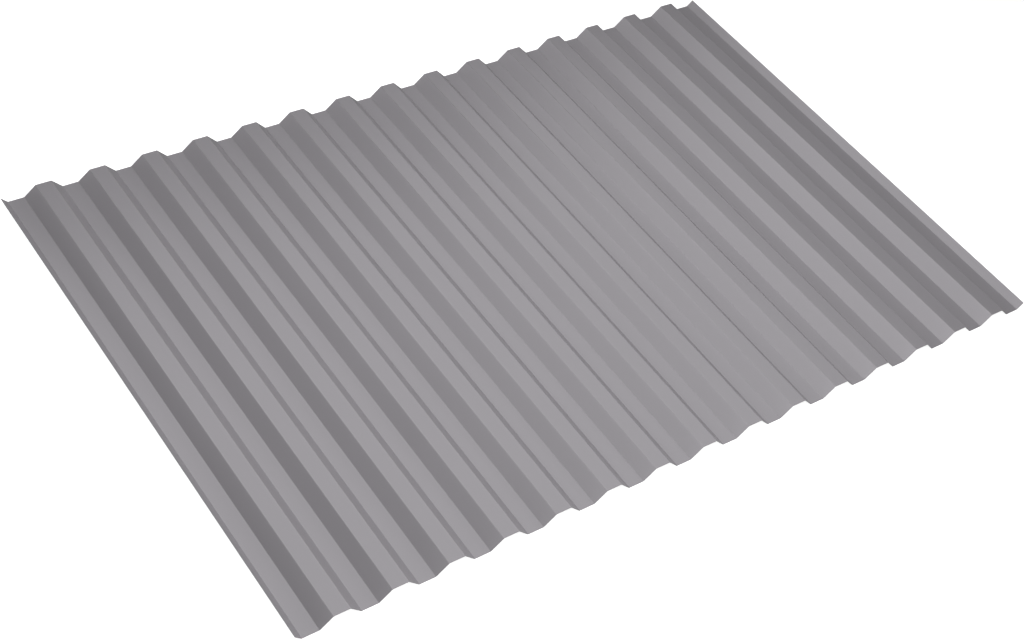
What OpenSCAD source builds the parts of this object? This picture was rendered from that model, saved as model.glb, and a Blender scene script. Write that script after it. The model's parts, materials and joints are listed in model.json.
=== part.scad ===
// Trapezoidal corrugated sheet: one flat steel strip, roll formed into parallel ribs.
// Frame: X across the ribs, Y along them, Z up. The origin is in the middle of the sheet,
// on the level of the undersides of its valleys, which are what it lies on.

/* [Ribs] */
// Distance from the middle of one rib to the middle of the next
rib_pitch = 69; // [50:0.5:110]
// Number of ribs across the sheet
rib_count = 15; // [1:1:24]
// Height of a rib's top above the valley floors
rib_h = 14.1; // [6:0.1:20]
// Width of a rib's flat top, between the lines where its upper faces would meet
crest_w = 20; // [8:0.5:28]
// Width of a valley's flat floor, between the lines where its upper faces would meet
valley_w = 20; // [8:0.5:28]

/* [Side edges] */
// Height that the part flank at each side edge rises above the valley floors
edge_h = 8.5; // [3:0.1:14]

/* [Sheet] */
// Length of the sheet, along its ribs
sheet_l = 690; // [100:10:3000]
// Thickness of the coated steel
sheet_t = 0.5; // [0.3:0.05:1]
// Inside radius of every bend
bend_r = 1; // [0.4:0.1:3]

/* [Hidden] */

// Facets in the arc of one bend
bend_steps = 4;

// Horizontal run of a full flank, and its slope in degrees
flank_run = (rib_pitch - crest_w - valley_w) / 2;
flank_a = atan2(rib_h, flank_run);

// Levels of the upper faces
valley_z = sheet_t;
crest_z = sheet_t + rib_h;

// Middle of rib i, counted from the left, and of the valley to its left
function rib_x(i) = (i - (rib_count - 1) / 2) * rib_pitch;
function valley_x(i) = rib_x(i) - rib_pitch / 2;

// A fold is [x, z, slope before it, slope after it], where the upper faces beside it would meet.
function valley_folds(x) = [
    [x - valley_w / 2, valley_z, -flank_a, 0],
    [x + valley_w / 2, valley_z, 0, flank_a]
];
function crest_folds(x) = [
    [x - crest_w / 2, crest_z, flank_a, 0],
    [x + crest_w / 2, crest_z, 0, -flank_a]
];

// All the folds from left to right: a valley, then a rib and a valley again for each rib
folds = [
    each valley_folds(valley_x(0)),
    for (i = [0 : rib_count - 1])
        each concat(crest_folds(rib_x(i)), valley_folds(valley_x(i + 1)))
];

// Unit vector that points down, square to a face of the given slope
function below(slope) = [sin(slope), -cos(slope)];

// Which side of the sheet a fold's bend centre is on: 1 above it, -1 below it
function side(fold) = sign(fold[3] - fold[2]);

// Radius of a fold's bend, on the sheet's upper face (depth 0) or its lower face (depth sheet_t)
function bend_radius(fold, depth) = side(fold) > 0 ? bend_r + depth : bend_r + sheet_t - depth;

// Centre of a fold's bend, on the line that halves the angle between its two faces
function bend_centre(fold) =
    [fold[0], fold[1]]
    - side(fold) * bend_radius(fold, 0) / cos((fold[3] - fold[2]) / 2) * below((fold[2] + fold[3]) / 2);

// The arc of a fold's bend, from left to right
function bend_arc(fold, depth) = [
    for (k = [0 : bend_steps])
        let (slope = fold[2] + (fold[3] - fold[2]) * k / bend_steps)
        bend_centre(fold) + side(fold) * bend_radius(fold, depth) * below(slope)
];

// Tip of the part flank at a side edge, which is cut square to the flank. dir is -1 left, 1 right.
function edge_tip(dir, depth) =
    [dir * (rib_count * rib_pitch / 2 + valley_w / 2 + edge_h / tan(flank_a)), valley_z + edge_h]
    + depth * below(dir * flank_a);

// One face of the section, from the left edge to the right edge
function face(depth) = [
    edge_tip(-1, depth),
    for (fold = folds) each bend_arc(fold, depth),
    edge_tip(1, depth)
];

function reversed(points) = [for (i = [len(points) - 1 : -1 : 0]) points[i]];

// Section across the ribs, from X and Z: along the upper face, and back along the lower one
module section() {
    polygon(concat(face(0), reversed(face(sheet_t))));
}

module corrugated_sheet() {
    color([0.62, 0.61, 0.62])
        rotate([90, 0, 0])
        linear_extrude(height = sheet_l, center = true)
        section();
}

corrugated_sheet();
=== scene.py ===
"""Studio scene of a trapezoidal corrugated steel sheet, built around its packed construction model.

Geometry Nodes form the sheet as a roll former does. A flat strip is folded on parallel lines, each fold
gets its bend radius, and the section is drawn out to the sheet's length and given its thickness. The
sheet wears a satin topcoat, a duller back coat and bare sheared edges. Lengths are in metres, in the
construction model's own frame: X across the ribs, Y along them, Z up.
"""

import json
import logging
import math
from collections.abc import Mapping, Sequence
from dataclasses import dataclass, field
from enum import Enum
from typing import Any, Union

import bpy
from mathutils import Matrix, Vector


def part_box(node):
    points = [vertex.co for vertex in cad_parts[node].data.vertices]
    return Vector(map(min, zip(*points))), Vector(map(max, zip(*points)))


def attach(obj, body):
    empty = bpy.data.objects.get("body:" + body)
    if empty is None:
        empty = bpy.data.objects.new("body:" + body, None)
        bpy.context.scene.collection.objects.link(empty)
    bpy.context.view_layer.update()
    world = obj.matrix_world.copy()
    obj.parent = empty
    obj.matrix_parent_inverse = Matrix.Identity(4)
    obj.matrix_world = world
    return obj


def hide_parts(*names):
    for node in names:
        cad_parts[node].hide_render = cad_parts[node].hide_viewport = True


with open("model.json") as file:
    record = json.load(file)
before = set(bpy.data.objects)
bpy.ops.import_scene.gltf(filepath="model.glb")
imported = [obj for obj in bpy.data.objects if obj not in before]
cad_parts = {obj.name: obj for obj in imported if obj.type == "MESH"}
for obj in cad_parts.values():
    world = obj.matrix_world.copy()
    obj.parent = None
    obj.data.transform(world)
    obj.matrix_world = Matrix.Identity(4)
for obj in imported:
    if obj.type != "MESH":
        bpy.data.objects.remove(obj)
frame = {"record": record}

LOG = logging.getLogger("corrugated_sheet")
NODE = "corrugated_sheet"
PIECE = "formed_sheet"
BODY = "root"
MM = 0.001
NOISE_MIDDLE = 0.5

Colour = tuple[float, float, float]
Point = tuple[float, float, float]
Value = Union["Signal", list["Signal"], Sequence[float], float, int, bool, str]


def opaque(colour: Colour, shade: float = 1.0) -> tuple[float, float, float, float]:
    """A colour for a socket, made lighter or darker by shade."""
    return (colour[0] * shade, colour[1] * shade, colour[2] * shade, 1.0)


class Signal:
    """The value on an output socket. Arithmetic on it adds Math nodes to its graph."""

    def __init__(self, graph: "Graph", socket: bpy.types.NodeSocket) -> None:
        """Wraps a socket.

        Args:
            graph: The graph that the socket's node is in.
            socket: The output socket.
        """
        self.graph = graph
        self.socket = socket

    def math(self, operation: str, *others: Value) -> "Signal":
        """Adds a Math node that takes this value first.

        Args:
            operation: The Math node's operation.
            *others: Its second and third values.

        Returns:
            The node's result.
        """
        return self.graph.math(operation, self, *others)

    def __add__(self, other: Value) -> "Signal":
        """This plus other."""
        return self.math("ADD", other)

    def __radd__(self, other: Value) -> "Signal":
        """Other plus this."""
        return self.math("ADD", other)

    def __sub__(self, other: Value) -> "Signal":
        """This minus other."""
        return self.math("SUBTRACT", other)

    def __rsub__(self, other: Value) -> "Signal":
        """Other minus this."""
        return self.graph.math("SUBTRACT", other, self)

    def __mul__(self, other: Value) -> "Signal":
        """This times other."""
        return self.math("MULTIPLY", other)

    def __rmul__(self, other: Value) -> "Signal":
        """Other times this."""
        return self.math("MULTIPLY", other)

    def __truediv__(self, other: Value) -> "Signal":
        """This over other."""
        return self.math("DIVIDE", other)

    def __rtruediv__(self, other: Value) -> "Signal":
        """Other over this."""
        return self.graph.math("DIVIDE", other, self)

    def __mod__(self, other: Value) -> "Signal":
        """What is left of this over other, never below nought."""
        return self.math("FLOORED_MODULO", other)

    def __rmod__(self, other: Value) -> "Signal":
        """What is left of other over this, never below nought."""
        return self.graph.math("FLOORED_MODULO", other, self)

    def __abs__(self) -> "Signal":
        """This without its sign."""
        return self.math("ABSOLUTE")

    def __gt__(self, other: Value) -> "Signal":
        """1 where this is above other, and 0 elsewhere."""
        return self.math("GREATER_THAN", other)

    def __lt__(self, other: Value) -> "Signal":
        """1 where this is below other, and 0 elsewhere."""
        return self.math("LESS_THAN", other)

    def floor(self) -> "Signal":
        """The whole number at or under this."""
        return self.math("FLOOR")

    def sign(self) -> "Signal":
        """1 where this is positive, -1 where it is negative, and 0 at nought."""
        return self.math("SIGN")

    def clamp(self) -> "Signal":
        """This, kept between 0 and 1."""
        return self.math("MAXIMUM", 0.0).math("MINIMUM", 1.0)

    def ease(self, low: float, high: float) -> "Signal":
        """Turns this into a smooth rise.

        Args:
            low: Where the rise starts, at 0.
            high: Where it ends, at 1.

        Returns:
            The eased value.
        """
        settings = {"interpolation_type": "SMOOTHSTEP"}
        sockets = {"Value": self, "From Min": low, "From Max": high}
        return self.graph.node("ShaderNodeMapRange", settings, sockets).out("Result")


class Placed:
    """A node that stands in a graph."""

    def __init__(self, graph: "Graph", node: bpy.types.Node) -> None:
        """Wraps a node.

        Args:
            graph: The graph that the node is in.
            node: The node.
        """
        self.graph = graph
        self.node = node

    def out(self, key: str | int = 0) -> Signal:
        """One of the node's outputs.

        Args:
            key: The output's identifier, or its place in the list.

        Returns:
            The output's value.
        """
        if isinstance(key, int):
            return Signal(self.graph, self.node.outputs[key])
        return Signal(self.graph, next(s for s in self.node.outputs if s.identifier == key))


class Graph:
    """A node tree under construction, for a material, the world or a modifier."""

    def __init__(self, tree: bpy.types.NodeTree) -> None:
        """Takes a tree and empties it.

        Args:
            tree: The tree to build in.
        """
        self.tree = tree
        self.tree.nodes.clear()

    def node(
        self,
        kind: str,
        settings: Mapping[str, Any] | None = None,
        sockets: Mapping[str, Value] | None = None,
    ) -> Placed:
        """Adds a node.

        Args:
            kind: The node's type.
            settings: Its properties, which are set first.
            sockets: Its inputs by identifier, each a value or a link.

        Returns:
            The node.
        """
        node = self.tree.nodes.new(kind)
        for name, setting in (settings or {}).items():
            setattr(node, name, setting)
        for key, value in (sockets or {}).items():
            self.feed(next(s for s in node.inputs if s.identifier == key), value)
        return Placed(self, node)

    def feed(self, socket: bpy.types.NodeSocket, value: Value) -> None:
        """Links signals to an input socket, or sets the socket's own value.

        Args:
            socket: The input socket.
            value: A signal, a list of signals for a socket that takes several, or a plain value.
        """
        if isinstance(value, list):
            for part in value:
                self.feed(socket, part)
        elif isinstance(value, Signal):
            self.tree.links.new(value.socket, socket)
        else:
            socket.default_value = value

    def math(self, operation: str, *values: Value) -> Signal:
        """Adds a Math node.

        Args:
            operation: Its operation.
            *values: Its inputs, in order.

        Returns:
            Its result.
        """
        names = ("Value", "Value_001", "Value_002")
        return self.node("ShaderNodeMath", {"operation": operation}, dict(zip(names, values))).out()

    def combine(self, x: Value, y: Value, z: Value) -> Signal:
        """A vector made of three values."""
        return self.node("ShaderNodeCombineXYZ", {}, {"X": x, "Y": y, "Z": z}).out()

    def separate(self, vector: Signal, axis: str) -> Signal:
        """A vector's share along one axis."""
        return self.node("ShaderNodeSeparateXYZ", {}, {"Vector": vector}).out(axis)

    def blend(self, share: Value, first: Value, second: Value) -> Signal:
        """Mixes two colours.

        Args:
            share: How much of the second colour shows, from 0 to 1.
            first: The first colour.
            second: The second colour.

        Returns:
            The mixed colour.
        """
        sockets = {"Factor_Float": share, "A_Color": first, "B_Color": second}
        return self.node("ShaderNodeMix", {"data_type": "RGBA"}, sockets).out("Result_Color")

    def noise(self, place: Signal, grain: Sequence[float], detail: float, roughness: float = 0.5) -> Signal:
        """Adds a noise whose grains are stretched along the axes.

        Args:
            place: Where it is read, in metres.
            grain: One grain's size along each axis.
            detail: How many finer layers it has.
            roughness: How strong each finer layer is against the one before.

        Returns:
            The noise, from 0 to 1 about a middle of 0.5.
        """
        per_grain = {"Vector": place, "Vector_001": tuple(1 / size for size in grain)}
        grains = self.node("ShaderNodeVectorMath", {"operation": "MULTIPLY"}, per_grain).out()
        sockets = {"Vector": grains, "Scale": 1.0, "Detail": detail, "Roughness": roughness}
        return self.node("ShaderNodeTexNoise", {"noise_dimensions": "3D"}, sockets).out("Fac")

    def relief(self, height: Signal, distance: float) -> Signal:
        """A normal bumped by a height from 0 to 1 that stands for a distance."""
        return self.node("ShaderNodeBump", {}, {"Height": height, "Distance": distance}).out("Normal")

    def surface(self, **sockets: Value) -> None:
        """Ends a material with one Principled shader.

        Args:
            **sockets: The shader's inputs, with _ for a space in a name.
        """
        named = {name.replace("_", " "): value for name, value in sockets.items()}
        shader = self.node("ShaderNodeBsdfPrincipled", {}, named)
        self.node("ShaderNodeOutputMaterial", {}, {"Surface": shader.out("BSDF")})


def new_material(name: str) -> tuple[bpy.types.Material, Graph]:
    """Makes an empty material.

    Args:
        name: The material's name.

    Returns:
        The material and the graph of its nodes.
    """
    material = bpy.data.materials.new(name)
    material.use_nodes = True
    return material, Graph(material.node_tree)


class Side(Enum):
    """The two coated sides of the strip."""

    FACE = "topcoat"
    BACK = "backcoat"


@dataclass(frozen=True)
class CoilCoat:
    """A coating that is rolled on along the strip, baked hard, and bent with the steel."""

    side: Side
    colour: Colour
    metallic: float
    roughness: float
    cloud_grain: Point = (90 * MM, 140 * MM, 1.0)
    drag_grain: Point = (1.3 * MM, 220 * MM, 1.0)
    peel_grain: Point = (2.4 * MM, 2.8 * MM, 1.0)
    tooth_grain: Point = (0.35 * MM, 0.35 * MM, 1.0)
    peel_height: float = 0.004 * MM
    tooth_height: float = 0.0012 * MM
    tone_range: float = 0.05
    cloud_share: float = 0.5
    drag_share: float = 0.3
    gloss_range: float = 0.05
    stretch_and_highlight_start: float = 0.9
    # Paling along the bends: a painted highlight on the folds, together with real whitening of the stretched
    # coat.
    highlight_and_stretch_paling: float = 0.05
    stretch_dulling: float = 0.04

    def material(self) -> bpy.types.Material:
        """Builds the coating.

        It has broad clouding, fine drag lines along the strip, orange peel and a fine tooth. Along each
        bend it is a little paler, a painted highlight on the fold together with the whitening of the
        stretched coat, and it is rougher where the bend stretches it.

        Returns:
            The material.
        """
        material, graph = new_material(f"coil_coat_{self.side.value}")
        strip = graph.node("ShaderNodeUVMap", {"uv_map": RollFormer.STRIP}).out()
        fold = graph.node("ShaderNodeAttribute", {"attribute_name": RollFormer.FOLD}).out("Fac")
        stretch_and_highlight = fold.ease(self.stretch_and_highlight_start, 1.0)
        cloud = graph.noise(strip, self.cloud_grain, 3.0)
        drag = graph.noise(strip, self.drag_grain, 3.0, 0.6)
        peel = graph.noise(strip, self.peel_grain, 1.0)
        tooth = graph.noise(strip, self.tooth_grain, 2.0)

        tooth_share = 1 - self.cloud_share - self.drag_share
        tone = cloud * self.cloud_share + drag * self.drag_share + tooth * tooth_share
        dark, light = opaque(self.colour, 1 - self.tone_range), opaque(self.colour, 1 + self.tone_range)
        coat = graph.blend(tone, dark, light)
        # Paler along each bend: painted highlight on the fold, together with the whitening of the stretched
        # coat.
        colour = graph.blend(stretch_and_highlight, coat, opaque(self.colour, 1 + self.highlight_and_stretch_paling))
        unevenness = (cloud + drag - 2 * NOISE_MIDDLE) * self.gloss_range
        roughness = self.roughness + unevenness + stretch_and_highlight * self.stretch_dulling
        height = (peel * self.peel_height + tooth * self.tooth_height) / MM
        graph.surface(
            Base_Color=colour,
            Metallic=self.metallic,
            Roughness=roughness,
            Normal=graph.relief(height, MM),
        )
        return material


@dataclass(frozen=True)
class ShearedSteel:
    """Bare steel at a cut: a burnished land where the blade slid, then a dull torn fracture."""

    land: Colour = (0.62, 0.62, 0.64)
    fracture: Colour = (0.36, 0.36, 0.37)
    land_share: float = 0.42
    land_edge: float = 0.05
    land_roughness: float = 0.26
    fracture_roughness: float = 0.48
    fracture_dulling: float = 0.5
    tear_grain: float = 0.2 * MM
    tear_depth: float = 0.02 * MM
    tear_reach: float = 0.3

    def material(self) -> bpy.types.Material:
        """Builds the cut edge.

        Returns:
            The material.
        """
        material, graph = new_material("sheared_steel")
        place = graph.node("ShaderNodeTexCoord").out("Object")
        depth = graph.node("ShaderNodeAttribute", {"attribute_name": RollFormer.DEPTH}).out("Fac")
        tear = graph.noise(place, (self.tear_grain,) * 3, 3.0, 0.6)
        ragged = depth + (tear - NOISE_MIDDLE) * self.tear_reach
        torn = ragged.ease(self.land_share - self.land_edge, self.land_share + self.land_edge)
        graph.surface(
            Base_Color=graph.blend(torn, opaque(self.land), opaque(self.fracture)),
            Metallic=1 - torn * self.fracture_dulling,
            Roughness=torn * (self.fracture_roughness - self.land_roughness) + self.land_roughness,
            Normal=graph.relief(tear, self.tear_depth),
        )
        return material


@dataclass(frozen=True)
class LightTable:
    """A pale matt floor sheet, lit through from below so that it throws almost no shadow."""

    colour: Colour = (0.8, 0.8, 0.8)
    glow: float = 0.95
    roughness: float = 0.9
    fibre_grain: float = 30 * MM
    fibre_tone: float = 0.01

    def material(self) -> bpy.types.Material:
        """Builds the floor's material.

        Returns:
            The material.
        """
        material, graph = new_material("light_table")
        place = graph.node("ShaderNodeTexCoord").out("Object")
        fibres = graph.noise(place, (self.fibre_grain,) * 3, 3.0)
        colour = graph.blend(fibres, opaque(self.colour, 1 - self.fibre_tone), opaque(self.colour))
        graph.surface(
            Base_Color=colour,
            Roughness=self.roughness,
            Emission_Color=colour,
            Emission_Strength=self.glow,
        )
        return material


@dataclass(frozen=True)
class RibProfile:
    """The sheet's sizes. Widths and heights are those of the upper face's flats, met in sharp corners."""

    ribs: int
    pitch: float
    rib_height: float
    edge_height: float
    thickness: float
    length: float
    crest_width: float = 20 * MM
    valley_width: float = 20 * MM
    bend_radius: float = 1 * MM

    @classmethod
    def from_model(cls, mounts: Sequence[Mapping[str, Any]], low: Vector, high: Vector) -> "RibProfile":
        """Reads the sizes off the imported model.

        Args:
            mounts: The record's mounts: seats under two valleys, and the laps on the outer ribs.
            low: The sheet's lowest corner.
            high: Its highest corner.

        Returns:
            The profile.
        """
        place = {mount["name"]: Vector(mount["pos_m"]) for mount in mounts}
        pitch = place["right_purlin_seat"].x - place["left_purlin_seat"].x
        ribs = round((place["right_lap"].x - place["left_lap"].x) / pitch) + 1
        thickness = place["left_lap"].z - place["right_lap"].z
        rib_height = high.z - low.z - thickness
        slope = math.atan2(rib_height, (pitch - cls.crest_width - cls.valley_width) / 2)
        edges = high.x - low.x - ribs * pitch - cls.valley_width - 2 * thickness * math.sin(slope)
        edge_height = edges / 2 * math.tan(slope)
        return cls(ribs, pitch, rib_height, edge_height, thickness, high.y - low.y)


class RollFormer(Graph):
    """The Geometry Nodes tree that folds a strip into ribs and draws it out.

    A rib has eight stations, counted from the middle of the valley on its left: both folds of each flank
    and the middle of each face. A station's steps run from 0 at the middle of a rib to 4 at the middle of
    a valley, and give its height and its distance from the middle of its rib. Three more stations past
    each outer valley make the side edges, and the last one is the edge's tip. The fold attribute is 1 on a
    bend, which is taken as above FOLD_LIMIT, and falls to 0 at the next station that isn't a fold.
    """

    FOLD = "fold"
    DEPTH = "depth"
    STRIP = "strip"
    RADIUS = "bend_radius"
    DEVELOPED = "developed_width"
    INPUTS = {
        "Ribs": "Int",
        "Pitch": "Float",
        "Rib Height": "Float",
        "Crest Width": "Float",
        "Valley Width": "Float",
        "Edge Height": "Float",
        "Length": "Float",
        "Thickness": "Float",
        "Bend Radius": "Float",
        "Bend Facets": "Int",
        "Topcoat": "Material",
        "Backcoat": "Material",
        "Cut Edge": "Material",
    }
    STATIONS = 8
    EDGE_STATIONS = 3
    FOLD_LIMIT = 0.99
    MERGE_DISTANCE = 0.001 * MM

    def __init__(self) -> None:
        """Makes the tree, with its named inputs."""
        super().__init__(bpy.data.node_groups.new("roll forming", "GeometryNodeTree"))
        interface = self.tree.interface
        interface.new_socket("Geometry", in_out="OUTPUT", socket_type="NodeSocketGeometry")
        self.keys: dict[str, str] = {}
        for name, kind in self.INPUTS.items():
            socket = interface.new_socket(name, in_out="INPUT", socket_type=f"NodeSocket{kind}")
            self.keys[name] = socket.identifier
        self.entry = self.node("NodeGroupInput")
        upper = self.draw_out(self.bend(self.fold()))
        self.node("NodeGroupOutput", {}, {self.exit_key(): self.dress(*self.thicken(upper))})

    def exit_key(self) -> str:
        """The identifier of the tree's own output."""
        return next(s.identifier for s in self.tree.interface.items_tree if s.in_out == "OUTPUT")

    def size(self, name: str) -> Signal:
        """One of the tree's inputs."""
        return self.entry.out(self.keys[name])

    def store(self, geometry: Signal, name: str, kind: str, domain: str, value: Signal) -> Signal:
        """Stores an attribute.

        Args:
            geometry: What it is stored on.
            name: Its name.
            kind: Its data type.
            domain: Where it is stored: POINT or CORNER.
            value: Its value.

        Returns:
            The geometry with the attribute.
        """
        settings = {"data_type": kind, "domain": domain}
        sockets = {"Geometry": geometry, "Name": name, "Value": value}
        return self.node("GeometryNodeStoreNamedAttribute", settings, sockets).out()

    def read(self, name: str) -> Signal:
        """Reads a stored number back."""
        return self.node("GeometryNodeInputNamedAttribute", {"data_type": "FLOAT"}, {"Name": name}).out()

    def fold(self) -> Signal:
        """Folds a line with one point at each station.

        Returns:
            The sharp-cornered section, with its folds marked and their radii stored.
        """
        ribs, pitch, crest, valley = (self.size(n) for n in ("Ribs", "Pitch", "Crest Width", "Valley Width"))
        rib_height, thickness = self.size("Rib Height"), self.size("Thickness")
        last = ribs * self.STATIONS
        station = self.node("GeometryNodeInputIndex").out() - self.EDGE_STATIONS
        turn = station % self.STATIONS - self.STATIONS / 2
        on_edge = (station < 0) + (station > last)
        at_tip = (station < 1 - self.EDGE_STATIONS) + (station > last + self.EDGE_STATIONS - 1)
        share = on_edge * (self.size("Edge Height") / rib_height - 1) + 1
        steps = 3 - (3 - abs(turn)) * share

        flank = (pitch - crest - valley) / 2
        on_crest, on_flank, on_valley = steps.clamp(), ((steps - 1) / 2).clamp(), (steps - 3).clamp()
        from_rib = on_crest * crest / 2 + on_flank * flank + on_valley * valley / 2
        rib_middle = ((station / self.STATIONS).floor() + 0.5 - ribs / 2) * pitch
        x = rib_middle + turn.sign() * from_rib
        z = ((3 - steps) / 2).clamp() * rib_height + thickness
        is_fold = (station % 2) * (1 - at_tip)
        radius = (self.size("Bend Radius") + (steps < 2) * thickness) * is_fold

        line = self.node("GeometryNodeCurvePrimitiveLine").out("Curve")
        count = last + 2 * self.EDGE_STATIONS + 1
        sockets = {"Curve": line, "Count": count}
        strip = self.node("GeometryNodeResampleCurve", {"mode": "COUNT"}, sockets).out()
        strip = self.store(strip, self.FOLD, "FLOAT", "POINT", is_fold)
        strip = self.store(strip, self.RADIUS, "FLOAT", "POINT", radius)
        place = self.combine(x, self.size("Length") * -0.5, z)
        return self.node("GeometryNodeSetPosition", {}, {"Geometry": strip, "Position": place}).out()

    def bend(self, section: Signal) -> Signal:
        """Rounds each fold.

        Args:
            section: The section with sharp corners.

        Returns:
            The rounded section, with the width of flat strip up to each point stored.
        """
        sockets = {
            "Curve": section,
            "Count": self.size("Bend Facets"),
            "Radius": self.read(self.RADIUS),
            "Limit Radius": True,
        }
        rounded = self.node("GeometryNodeFilletCurve", {"mode": "POLY"}, sockets).out()
        developed = self.node("GeometryNodeSplineParameter").out("Length")
        return self.store(rounded, self.DEVELOPED, "FLOAT", "POINT", developed)

    def draw_out(self, section: Signal) -> Signal:
        """Draws the section out along Y into the sheet's upper face.

        Args:
            section: The rounded section.

        Returns:
            The upper face, with the flat strip as its UV map, smooth round its bends.
        """
        wire = self.node("GeometryNodeCurveToMesh", {}, {"Curve": section}).out()
        travel = {"Mesh": wire, "Offset": self.combine(0.0, self.size("Length"), 0.0), "Offset Scale": 1.0}
        drawn = self.node("GeometryNodeExtrudeMesh", {"mode": "EDGES"}, travel).out("Mesh")
        faced = self.node("GeometryNodeFlipFaces", {}, {"Mesh": drawn}).out()
        along = self.separate(self.node("GeometryNodeInputPosition").out(), "Y")
        strip = self.combine(self.read(self.DEVELOPED), along, 0.0)
        mapped = self.store(faced, self.STRIP, "FLOAT2", "CORNER", strip)
        settings = {"data_type": "FLOAT", "operation": "GREATER_THAN"}
        sockets = {"A": self.read(self.FOLD), "B": self.FOLD_LIMIT}
        on_bend = self.node("FunctionNodeCompare", settings, sockets).out()
        sockets = {"Geometry": mapped, "Shade Smooth": on_bend}
        return self.node("GeometryNodeSetShadeSmooth", {"domain": "FACE"}, sockets).out()

    def thicken(self, upper: Signal) -> tuple[Signal, Signal, Signal]:
        """Gives the sheet its thickness, downwards from the upper face.

        Args:
            upper: The upper face.

        Returns:
            The closed sheet, and which of its faces are the lower face and the cut edges.
        """
        sockets = {"Mesh": upper, "Offset Scale": self.size("Thickness") * -1, "Individual": False}
        sunk = self.node("GeometryNodeExtrudeMesh", {"mode": "FACES"}, sockets)
        under = self.store(sunk.out("Mesh"), self.DEPTH, "FLOAT", "POINT", sunk.out("Top"))
        turned = self.node("GeometryNodeFlipFaces", {}, {"Mesh": under}).out()
        both = self.node("GeometryNodeJoinGeometry", {}, {"Geometry": [upper, turned]}).out()
        sockets = {"Geometry": both, "Distance": self.MERGE_DISTANCE}
        closed = self.node("GeometryNodeMergeByDistance", {}, sockets).out()
        return closed, sunk.out("Top"), sunk.out("Side")

    def dress(self, sheet: Signal, lower: Signal, cut: Signal) -> Signal:
        """Gives each side its coating, and bare steel to the cuts.

        Args:
            sheet: The closed sheet.
            lower: Which faces are the lower face.
            cut: Which faces are cut edges.

        Returns:
            The finished sheet.
        """
        dressed = self.node("GeometryNodeRealizeInstances", {}, {"Geometry": sheet}).out()
        for part, finish in ((True, "Topcoat"), (lower, "Backcoat"), (cut, "Cut Edge")):
            sockets = {"Geometry": dressed, "Selection": part, "Material": self.size(finish)}
            dressed = self.node("GeometryNodeSetMaterial", {}, sockets).out()
        return dressed


@dataclass
class CorrugatedSheet:
    """The sheet: one strip of coated steel, folded into ribs, with its sheared edges just broken."""

    profile: RibProfile
    topcoat: CoilCoat
    backcoat: CoilCoat
    cut_edge: ShearedSteel
    bend_facets: int = 6
    edge_break: float = 0.04 * MM
    edge_angle: float = math.radians(60)
    piece: bpy.types.Object | None = field(default=None, init=False)

    def build(self) -> None:
        """Forms the sheet with Geometry Nodes and keeps the result as a plain mesh."""
        former = RollFormer()
        strip = bpy.data.objects.new(PIECE, bpy.data.meshes.new("strip"))
        forming = strip.modifiers.new("forming", "NODES")
        forming.node_group = former.tree
        for name, value in self.inputs().items():
            forming[former.keys[name]] = value
        edging = strip.modifiers.new("edge break", "BEVEL")
        edging.width = self.edge_break
        edging.segments = 1
        edging.limit_method = "ANGLE"
        edging.angle_limit = self.edge_angle
        bpy.context.scene.collection.objects.link(strip)
        evaluated = strip.evaluated_get(bpy.context.evaluated_depsgraph_get())
        mesh = bpy.data.meshes.new_from_object(evaluated)
        bpy.data.objects.remove(strip)
        mesh.name = PIECE
        self.piece = bpy.data.objects.new(PIECE, mesh)
        bpy.context.scene.collection.objects.link(self.piece)

    def inputs(self) -> dict[str, Any]:
        """The forming tree's inputs, by name."""
        sizes = self.profile
        return {
            "Ribs": sizes.ribs,
            "Pitch": sizes.pitch,
            "Rib Height": sizes.rib_height,
            "Crest Width": sizes.crest_width,
            "Valley Width": sizes.valley_width,
            "Edge Height": sizes.edge_height,
            "Length": sizes.length,
            "Thickness": sizes.thickness,
            "Bend Radius": sizes.bend_radius,
            "Bend Facets": self.bend_facets,
            "Topcoat": self.topcoat.material(),
            "Backcoat": self.backcoat.material(),
            "Cut Edge": self.cut_edge.material(),
        }

    def place(self) -> None:
        """Puts the sheet on its body, in place of the construction model's own node."""
        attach(self.piece, BODY)
        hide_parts(NODE)


@dataclass(frozen=True)
class Softbox:
    """A rectangular light that hangs level over the object, out of the camera's sight."""

    name: str
    centre: Point
    size: tuple[float, float]
    radiance: float

    def build(self) -> None:
        """Hangs the light."""
        light = bpy.data.lights.new(self.name, "AREA")
        light.shape = "RECTANGLE"
        light.size, light.size_y = self.size
        light.energy = self.radiance * math.pi * light.size * light.size_y
        box = bpy.data.objects.new(self.name, light)
        box.location = self.centre
        box.visible_camera = False
        bpy.context.scene.collection.objects.link(box)


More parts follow.
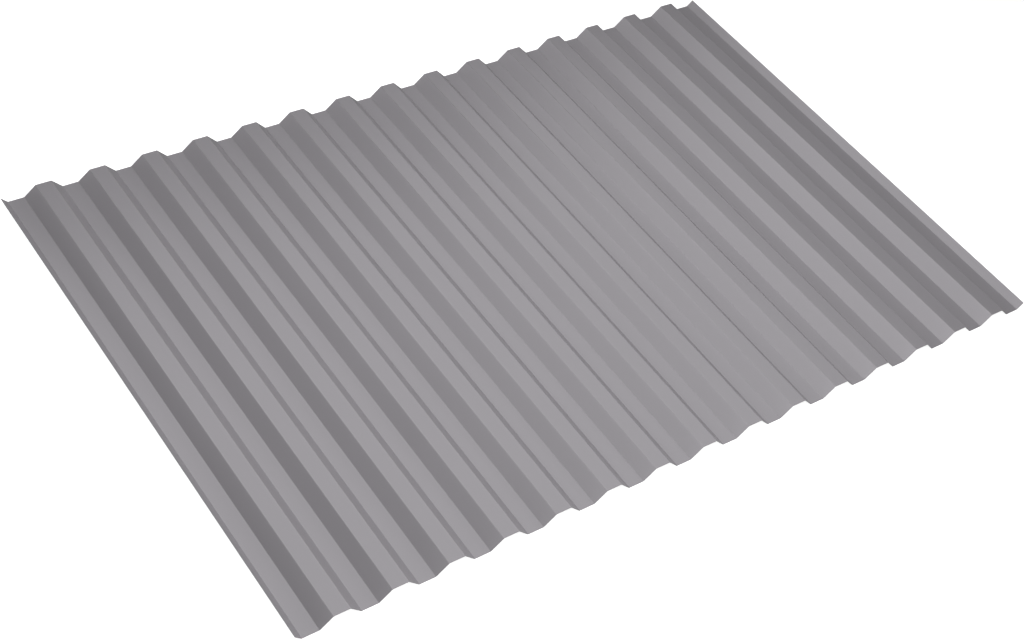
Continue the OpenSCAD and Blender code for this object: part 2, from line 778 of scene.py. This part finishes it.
@dataclass(frozen=True)
class Studio:
    """The floor, the softboxes, and a room that glows along its horizon under a dark ceiling."""

    floor: LightTable
    softboxes: tuple[Softbox, ...]
    ground: float
    horizon: float
    ceiling: float
    backdrop: float = 0.9
    ground_edge: float = -0.1
    glow_edge: float = 0.25
    floor_size: float = 60.0

    def build(self) -> None:
        """Lights the room and lays the floor."""
        self.paint_room()
        for softbox in self.softboxes:
            softbox.build()
        self.lay_floor()
        bpy.context.scene.view_settings.view_transform = "Standard"

    def paint_room(self) -> None:
        """Sets the room's soft light. The camera sees a plain pale backdrop in its place."""
        world = bpy.data.worlds.new("studio")
        world.use_nodes = True
        graph = Graph(world.node_tree)
        levels = (self.ground, self.horizon, self.ceiling, self.backdrop)
        ground, horizon, ceiling, backdrop = (opaque((level,) * 3) for level in levels)
        height = graph.separate(graph.node("ShaderNodeTexCoord").out("Generated"), "Z")
        low = graph.blend(height.ease(self.ground_edge, 0.0), ground, horizon)
        room = graph.blend(height.ease(0.0, self.glow_edge), low, ceiling)
        seen = graph.node("ShaderNodeLightPath").out("Is Camera Ray")
        colour = graph.blend(seen, room, backdrop)
        light = graph.node("ShaderNodeBackground", {}, {"Color": colour})
        graph.node("ShaderNodeOutputWorld", {}, {"Surface": light.out()})
        bpy.context.scene.world = world

    def lay_floor(self) -> None:
        """Lays the floor at the level that the sheet rests on. It stays out of glossy reflections."""
        half = self.floor_size / 2
        corners = [(-half, -half, 0.0), (half, -half, 0.0), (half, half, 0.0), (-half, half, 0.0)]
        mesh = bpy.data.meshes.new("floor")
        mesh.from_pydata(corners, [], [(0, 1, 2, 3)])
        mesh.materials.append(self.floor.material())
        floor = bpy.data.objects.new("floor", mesh)
        floor.visible_glossy = False
        bpy.context.scene.collection.objects.link(floor)


@dataclass(frozen=True)
class Viewpoint:
    """A camera on a sphere round what it looks at. Angles are in degrees."""

    target: Point
    distance: float
    azimuth: float
    elevation: float
    roll: float
    lens: float
    sensor: float = 36.0

    def build(self) -> None:
        """Sets the camera up and gives it to the scene."""
        data = bpy.data.cameras.new("camera")
        data.lens = self.lens
        data.sensor_width = self.sensor
        camera = bpy.data.objects.new("camera", data)
        azimuth, elevation = math.radians(self.azimuth), math.radians(self.elevation)
        level = math.cos(elevation)
        back = Vector((math.sin(azimuth) * level, -math.cos(azimuth) * level, math.sin(elevation)))
        turn = (-back).to_track_quat("-Z", "Y").to_matrix().to_4x4()
        stand = Matrix.Translation(Vector(self.target) + back * self.distance)
        camera.matrix_world = stand @ turn @ Matrix.Rotation(math.radians(self.roll), 4, "Z")
        bpy.context.scene.collection.objects.link(camera)
        bpy.context.scene.camera = camera


def main() -> None:
    """Builds the scene."""
    logging.basicConfig(level=logging.INFO, format="%(name)s: %(message)s")
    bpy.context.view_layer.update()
    low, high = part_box(NODE)

    Viewpoint(
        target=(-0.0855, -0.0757, 0.0005),
        distance=2.0717,
        azimuth=-44.788,
        elevation=44.607,
        roll=14.0,
        lens=61.517,
    ).build()
    LOG.info("camera: set")

    Studio(
        floor=LightTable(),
        softboxes=(
            Softbox("overhead", centre=(-0.133, -0.365, 0.512), size=(1.69, 2.13), radiance=1.036),
            Softbox("side", centre=(-2.69, 2.20, 3.28), size=(0.62, 2.27), radiance=2.59),
        ),
        ground=0.133,
        horizon=0.699,
        ceiling=0.145,
    ).build()
    LOG.info("studio: floor, room and softboxes")

    grey = (0.306, 0.292, 0.311)
    sheet = CorrugatedSheet(
        profile=RibProfile.from_model(frame["record"]["mounts"], low, high),
        topcoat=CoilCoat(Side.FACE, grey, metallic=0.172, roughness=0.319),
        backcoat=CoilCoat(Side.BACK, (0.30, 0.30, 0.295), metallic=0.15, roughness=0.5),
        cut_edge=ShearedSteel(),
    )
    sheet.build()
    sheet.place()
    LOG.info("%s: %d faces, %s", sheet.piece.name, len(sheet.piece.data.polygons), sheet.profile)


if __name__ == "__main__":
    main()
